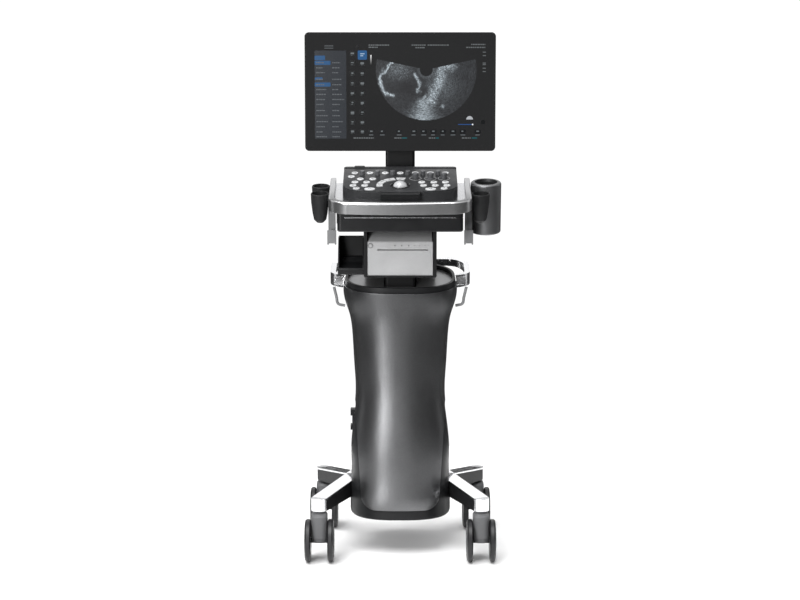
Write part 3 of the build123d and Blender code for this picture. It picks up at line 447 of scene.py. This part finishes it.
def lit(name, color, strength):
    """A colour of the screen: the panel glows, with the fine unevenness of its pixels."""
    surface = Surface(name, [0.25 * value for value in color], 0.25)
    surface.mottle(surface.noise(2500, 1), 0.9, 1.1)
    glow = surface.two_tone(surface.noise(1800, 2), [0.86 * value for value in color], color)
    surface.link(glow, surface.shader.inputs["Emission Color"])
    surface.set("Emission Strength", strength)
    return surface.material


def screen_tiles(name, tiles, layer, color, strength=0.8, corner=0.0):
    """A group of rectangles of one colour, each (left, top, right, bottom) in mm."""
    mesh = bmesh.new()
    for left, top, right, bottom in tiles:
        cut = min(corner, (right - left) / 2.2, (bottom - top) / 2.2)
        outline = (
            (left + cut, top),
            (right - cut, top),
            (right, top + cut),
            (right, bottom - cut),
            (right - cut, bottom),
            (left + cut, bottom),
            (left, bottom - cut),
            (left, top + cut),
        )
        if cut == 0.0:
            outline = outline[0:2] + outline[4:6]
        mesh.faces.new([mesh.verts.new(on_screen(across, down, layer)) for across, down in outline])
    add_piece(name, mesh, "monitor", lit(name, color, strength))


def text_row(across, down, length, height=2.6):
    """One line of text stands as a run of word-like bars."""
    tiles = []
    place = across
    while place < across + length - 1.2:
        word = min(dice.uniform(2.2, 6.5), across + length - place)
        tiles.append((place, down - height / 2, place + word, down + height / 2))
        place += word + WORD_GAP
    return tiles


def make_menu():
    """The menu on the left: a plate with two columns of words, thin rules and a few chosen entries."""
    screen_tiles("menu_panel", [(23.5, 42.8, 98, 249.6)], 1, (0.016, 0.020, 0.027), 0.8, 1.0)
    highlights = [
        (23.5, 54.6, 48.2, 65.1),
        (23.5, 66.6, 60.9, 76.2),
        (23.5, 117.5, 60.9, 127.1),
        (24.1, 105.5, 42.2, 111.5),
    ]
    screen_tiles("menu_highlights", highlights, 2, (0.010, 0.075, 0.20), 0.8, 1.2)
    rows = (71.1, 83.1, 94.5, 110, 122.6, 134, 145.4, 157.4, 169, 183.4, 195.4, 209.5, 221.5, 233.8, 244.9)
    words = []
    for down in rows:
        words += text_row(27.1, down, dice.uniform(15, 27))
        words += text_row(64.8, down, dice.uniform(14, 28))
    screen_tiles("menu_words", words, 3, (0.10, 0.11, 0.12), 0.8)
    lines = [(24.5, (a + b) / 2 - 0.15, 97, (a + b) / 2 + 0.15) for a, b in zip(rows, rows[1:])]
    screen_tiles("menu_rules", lines, 2, (0.028, 0.032, 0.04), 0.8)


def make_icons():
    """Two columns of icons beside the menu, one of them chosen, and a row of them along the bottom."""
    icons, hearts = [], []
    for down in (50.1, 72.6, 96.5, 119.6, 143, 165.5, 188.5, 211.3, 232.9):
        for across in (112.4, 135.6):
            if (across, down) != (135.6, 50.1):
                icons.append((across - 6.5, down - 6.0, across + 6.5, down + 6.0))
                width = dice.uniform(2.0, 4.2)
                hearts.append((across - width, down - 2.6, across + width, down + dice.uniform(-0.5, 2.4)))
                hearts.append((across - 3.2, down + 3.0, across + dice.uniform(0, 3.2), down + 3.9))
    for across in (156.7, 182.4, 222.4, 257.1, 280.3, 303.5, 326.4, 349.6, 372.8, 407.8):
        icons.append((across - 7.5, 228.4, across + 7.5, 237.6))
        hearts.append((across - 3.0, 230.6, across + dice.uniform(1.0, 3.5), 233.6))
        hearts.append((across - 5.5, 240.0, across + dice.uniform(3.0, 6.5), 241.8))
    icons += [(416, 206, 425, 215), (119.5, 28.5, 127.5, 35.8)]
    hearts += [(46.7, 30.6, 67.8, 31.4), (46.7, 33.8, 67.8, 34.6), (46.7, 37.2, 67.8, 38.0)]
    screen_tiles("icon_plates", icons, 2, (0.004, 0.005, 0.006), 0.8, 1.6)
    screen_tiles("icon_marks", hearts, 3, (0.14, 0.155, 0.165), 0.8, 0.4)
    screen_tiles("icon_chosen", [(125.1, 42.6, 146.8, 64.2)], 2, (0.012, 0.085, 0.23), 0.8, 1.8)
    chosen = [(131, 49, 141, 51.4), (131, 53.6, 138, 56)]
    screen_tiles("icon_chosen_mark", chosen, 3, (0.30, 0.42, 0.55), 0.8, 0.5)


def make_labels():
    """Lines of words round the scan, a slider, and the scale of greys."""
    words = []
    for across, right, down in (
        (150.7, 200.4, 30),
        (150.7, 173.3, 35.1),
        (251.7, 284.8, 30),
        (260.7, 284.8, 36),
        (289.4, 339.1, 30),
        (391.8, 425, 28.5),
        (379.8, 425, 35.4),
        (114.5, 162.8, 248.1),
        (211, 228, 248.1),
        (292.4, 308, 248.1),
        (370.7, 392, 248.1),
    ):
        words += text_row(across, down, right - across, 2.9)
    for down in (46.5, 54.6, 72, 75.6, 84, 91.8):
        words.append((419, down - 1.1, 426.5, down + 1.1))
    screen_tiles("labels", words, 2, (0.12, 0.13, 0.135), 0.8)
    teal = [(229, 246.8, 241, 249.4), (309, 246.8, 316.5, 249.4), (394, 246.8, 406.9, 249.4)]
    screen_tiles("labels_teal", teal, 2, (0.012, 0.10, 0.115), 0.8)
    screen_tiles("slider", [(361.7, 215.2, 394, 217.0)], 2, (0.02, 0.08, 0.26), 0.8, 0.6)
    screen_tiles("slider_end", [(394, 214.3, 397.9, 217.9)], 3, (0.8, 0.82, 0.85), 0.8, 1.2)
    steps = [(154.6, 53.1 + 2.25 * step, 157.6, 53.1 + 2.25 * (step + 1)) for step in range(10)]
    for step, tile in enumerate(steps):
        shade = 0.75 * (1 - step / 10) ** 1.6 + 0.02
        screen_tiles(f"grey_step_{step}", [tile], 2, (shade, shade, shade), 0.8)


def near(value, middle, spread):
    """1 at the middle, and falling to nothing within a few spreads of it."""
    return math.exp(-(((value - middle) / spread) ** 2))


WALL_LEFT = ((206, 70), (181, 97), (177, 119), (190, 144), (209.5, 147.6))
WALL_RIGHT = ((258, 97), (271, 119), (267, 140))
BRIGHT_BRANCH = ((345, 79), (323, 80), (319, 112), (306, 140), (298, 160))


def path_distance(across, down, path):
    """How far a place is from a run of straight lines."""
    place = Vector((across, down))
    nearest = math.inf
    for start, end in zip(path, path[1:]):
        first, run = Vector(start), Vector(end) - Vector(start)
        part = max(0.0, min(1.0, (place - first).dot(run) / run.length_squared))
        nearest = min(nearest, (place - first - part * run).length)
    return nearest


def echo(across, down):
    """How bright the scan is: a dark cavity with bright walls, a bright branch and a lit patch."""
    x, y = across - SCAN_MIDDLE[0], down - SCAN_MIDDLE[1]
    reach, turn = math.hypot(x, y), math.atan2(x, y)
    swirl = noise.fractal(Vector((across * 0.07, down * 0.07, 3.1)), 1.0, 2.0, 4)
    across, down = across + 5 * swirl, down + 4 * swirl
    streak = abs(noise.noise(Vector((across * 0.30 + down * 0.12, down * 0.22 - across * 0.1, 5.0))))
    grain = noise.noise(Vector((reach * 0.8, turn * 22, 0.4)))
    fine = noise.noise(Vector((reach * 2.2, turn * 55, 7.7)))
    # the dim ground with the edge of the probe, and the tissue over the cavity
    level = 0.020 + 0.012 * swirl + 0.05 * near(reach, SCAN_INNER + 2, 4)
    level += 0.16 * near(across, 222, 34) ** 2 * near(down, 90, 26) ** 2 * (0.3 + 2.2 * streak)
    # the cavity's two walls, then the branch with the haze on its right
    level += 0.60 * near(path_distance(across, down, WALL_LEFT), 0, 3.0)
    level += 0.55 * near(path_distance(across, down, WALL_RIGHT), 0, 2.8)
    level += 0.42 * near(path_distance(across, down, BRIGHT_BRANCH), 0, 10) * (0.25 + 2.6 * streak)
    level += 0.09 * near(across, 325, 30) * near(down, 125, 34)
    # the patch under the branch widens downwards, with a small bright spot beside it
    below = down - 148
    if below > 0:
        level += 0.34 * near(across, 282 - below * 0.1, 6 + below * 0.46)
    level += 0.30 * near(math.hypot(across - 325, down - 173), 0, 4)
    # the cavity itself gives back next to nothing
    level *= 1 - 0.85 * near(math.hypot((across - 240) / 27, (down - 130) / 22), 0, 0.9)
    return max(0.0, level) * max(0.1, 0.8 + 0.9 * grain + 0.6 * fine)


def make_scan():
    """The sector picture: a fine polar mesh that carries the brightness of the echoes."""
    half = math.radians(SCAN_HALF_ANGLE)
    mesh = bmesh.new()
    values, rows = [], []
    for step in range(SCAN_TURNS + 1):
        turn = -half + 2 * half * step / SCAN_TURNS
        row = []
        for depth in range(SCAN_REACHES + 1):
            reach = SCAN_INNER + (SCAN_OUTER - SCAN_INNER) * depth / SCAN_REACHES
            across = SCAN_MIDDLE[0] + reach * math.sin(turn)
            down = SCAN_MIDDLE[1] + reach * math.cos(turn)
            row.append(mesh.verts.new(on_screen(across, down, 2)))
            values.append(echo(across, down))
        rows.append(row)
    for left, right in zip(rows, rows[1:]):
        for depth in range(SCAN_REACHES):
            mesh.faces.new((left[depth], left[depth + 1], right[depth + 1], right[depth]))
    surface = Surface("scan_picture", (0.02, 0.02, 0.022), 0.25)
    surface.mottle(surface.noise(2500, 1), 0.9, 1.1)
    stored = surface.node("ShaderNodeAttribute")
    stored.attribute_name = "echo"
    speckle = surface.remap(surface.noise(900, 2), 0.45, 1.55, 0.3, 0.7)
    bright = surface.product(stored.outputs["Fac"], speckle)
    tint = surface.two_tone(bright, (0, 0, 0), (0.80, 0.92, 1.0))
    surface.link(tint, surface.shader.inputs["Emission Color"])
    surface.set("Emission Strength", 1.0)
    piece = add_piece("scan_sector", mesh, "monitor", surface.material)
    echoes = piece.data.attributes.new("echo", "FLOAT", "POINT")
    echoes.data.foreach_set("value", values)


def make_body_mark():
    """A half disc that stands for the place on the body."""
    across, down = BODY_MARK
    mesh = bmesh.new()
    middle = mesh.verts.new(on_screen(across, down, 2))
    arc = []
    for step in range(BODY_MARK_STEPS + 1):
        turn = math.pi * step / BODY_MARK_STEPS
        reach_across, reach_up = BODY_MARK_RADIUS * math.cos(turn), BODY_MARK_RADIUS * math.sin(turn)
        arc.append(mesh.verts.new(on_screen(across + reach_across, down - reach_up, 2)))
    for first, second in zip(arc, arc[1:]):
        mesh.faces.new((middle, first, second))
    add_piece("body_mark", mesh, "monitor", lit("body_mark", (0.45, 0.47, 0.5), 0.75))


def make_screen():
    make_menu()
    make_icons()
    make_labels()
    make_scan()
    make_body_mark()


# ---------------------------------------------------------------- console, printer and wheels
# Places on the console are measured on its sloping panel, from the middle of the front edge.
PANEL_TILT = math.radians(13)
PANEL = local_frame((0, -0.150, 0.869), (1, 0, 0), (0, math.cos(PANEL_TILT), math.sin(PANEL_TILT)))
BALL_ALONG = 0.044
DIALS_ALONG = 0.097
DIALS = (("gain", 0.0355), ("select", 0.0705), ("depth", 0.102))
KEY_NODES = (
    ("soft_keys", "soft_key_bank"),
    ("left_keys", "left_key_bank"),
    ("right_keys", "right_key_bank"),
    ("arc_keys", "arc_key_bank"),
)

# A sign is a ring, or strokes of (left, low, right, high) in shares of its size.
SIGNS = (
    (),
    ((-0.8, 0.25, 0.8, 0.5), (-0.8, -0.3, 0.3, -0.05)),
    ((-0.7, -0.5, -0.45, 0.5), (-0.1, -0.5, 0.15, 0.2), (0.45, -0.5, 0.7, 0.5)),
    ((-0.12, -0.7, 0.12, 0.7), (-0.7, -0.12, 0.7, 0.12)),
)
SIGN_SIZE = 0.0042
SIGN_SHARE = 0.26
SIGN_RING = (0.62, 0.85)
INK = 0.00012
INK_GAP = 0.00004

HUB_CAP = ((0.0002, -0.002), (0.0002, 0.0016), (0.010, 0.0012), (0.0135, -0.0004), (0.0135, -0.002))
WHEEL_RING = (0.030, 0.0325, -0.0012, 0.0005, 0.0004)

# The engine box's pale strip, a painted highlight along its groove: its two heights, and (left, front,
# right, back) of its three runs.
GROOVE_HIGHLIGHT_HEIGHTS = (0.8078, 0.8096)
GROOVE_HIGHLIGHT_RUNS = (
    (-0.128, -0.1497, 0.128, -0.1485),
    (-0.1447, -0.132, -0.1435, 0.078),
    (0.1435, -0.132, 0.1447, 0.078),
)

PRINTER_LAMPS = (-0.0123, 0.0032, 0.0196)
PRINTER_SIGNS = (0.0327, 0.0449, 0.0573)


def extent(spots):
    """The lowest and the highest corner round some places."""
    low = Vector([min(spot[axis] for spot in spots) for axis in range(3)])
    high = Vector([max(spot[axis] for spot in spots) for axis in range(3)])
    return low, high


def node_extent(name):
    return extent([vertex.co for vertex in frame["nodes"][name].data.vertices])


def ring_profile(inner, outer, low, high, ease):
    """The section of a flat ring whose upper edges are eased."""
    return (
        (inner, low),
        (inner, high - ease),
        (inner + ease, high),
        (outer - ease, high),
        (outer, high - ease),
        (outer, low),
    )


def make_signs(material):
    """Every key carries a small printed sign, raised by the thickness of the ink."""
    to_panel = PANEL.inverted()
    ring_inner, ring_outer = SIGN_RING
    for name, body in KEY_NODES:
        mesh = bmesh.new()
        for key in islands(frame["nodes"][name]):
            low, high = extent([to_panel @ spot for spot in key])
            middle = (low + high) / 2
            size = min(SIGN_SIZE, (high.x - low.x) * SIGN_SHARE)
            place = PANEL @ Matrix.Translation((middle.x, middle.y, high.z + INK_GAP))
            strokes = SIGNS[dice.randrange(len(SIGNS))]
            if not strokes:
                ring = ring_profile(size * ring_inner, size * ring_outer, 0, INK, INK / 3)
                turned(mesh, place, ring, 24)
            for left, bottom, right, top in strokes:
                block(mesh, place, (size * left, size * bottom, 0), (size * right, size * top, INK))
        add_piece(f"{name}_signs", mesh, body, material)


def make_console_trim(finishes):
    """A glossy ring round the trackball and pale collars under the dials."""
    mesh = bmesh.new()
    ball = PANEL @ Matrix.Translation((0, BALL_ALONG, 0))
    turned(mesh, ball, ring_profile(0.0186, 0.0235, 0.0001, 0.0018, 0.0006), 72)
    add_piece("trackball_ring", mesh, "lift", finishes["polished_dark"], True)
    for name, across in DIALS:
        mesh = bmesh.new()
        seat = PANEL @ Matrix.Translation((across, DIALS_ALONG, 0))
        turned(mesh, seat, ring_profile(0.0125, 0.0146, 0.0001, 0.0009, 0.0003))
        add_piece(f"{name}_collar", mesh, "lift", finishes["hook_grey"], True)


def make_hub_caps(finishes):
    """A shallow cap closes each wheel's hub on its outer face, inside a thin raised ring."""
    for end in ("front", "rear"):
        for side in ("left", "right"):
            low, high = node_extent(f"caster_wheels_{end}_{side}")
            middle = (low + high) / 2
            mesh = bmesh.new()
            for face, outward in ((low.x, -1), (high.x, 1)):
                place = local_frame((face, middle.y, middle.z), (0, outward, 0), (0, 0, 1))
                turned(mesh, place, HUB_CAP)
                turned(mesh, place, ring_profile(*WHEEL_RING), 64)
            body = f"wheels_{end}_{side}"
            add_piece(f"hub_caps_{end}_{side}", mesh, body, finishes["caster_grey"], True)


def make_engine_painted_highlight(finishes):
    """A pale satin strip runs along the groove of the engine box as a painted highlight on the groove's
    edge.
    """
    mesh = bmesh.new()
    low, high = GROOVE_HIGHLIGHT_HEIGHTS
    for left, front, right, back in GROOVE_HIGHLIGHT_RUNS:
        block(mesh, Matrix.Identity(4), (left, front, low), (right, back, high))
    # painted highlight: a pale satin strip put where the groove's edge catches the light
    add_piece("engine_painted_highlight", mesh, "lift", finishes["satin_silver"])


def make_printer_trim(finishes):
    """A ring round the power button, three lamps and three small signs on the printer's face."""
    low, high = node_extent("printer_power_button")
    middle = (low + high) / 2
    radius = (high.x - low.x) / 2
    face = node_extent("printer")[0].y

    def on_face(across):
        return local_frame((across, face, middle.z), (1, 0, 0), (0, 0, 1))

    mesh = bmesh.new()
    ring = ring_profile(radius + 0.0005, radius + 0.0016, -0.0002, 0.0003, 0.0001)
    turned(mesh, on_face(middle.x), ring, 40)
    for across in PRINTER_LAMPS:
        turned(mesh, on_face(across), ring_profile(0.0003, 0.0017, -0.0002, 0.0004, 0.0002), 24)
    for across in PRINTER_SIGNS:
        block(mesh, on_face(across), (-0.0014, -0.0004, -0.0002), (0.0014, 0.0004, 0.0002))
    add_piece("printer_trim", mesh, "lift", finishes["hook_grey"])


# ---------------------------------------------------------------- script
make_camera()
make_world()
make_sun("sky", 66, -35, 3.3, 50)
for softbox in SOFTBOXES:
    make_softbox(*softbox)
make_floor()
finishes = make_materials()
dress_nodes(finishes)
make_screen()
make_signs(finishes["holder_grey"])
make_console_trim(finishes)
make_hub_caps(finishes)
make_engine_painted_highlight(finishes)
make_printer_trim(finishes)

bpy.context.scene.view_settings.view_transform = "Standard"
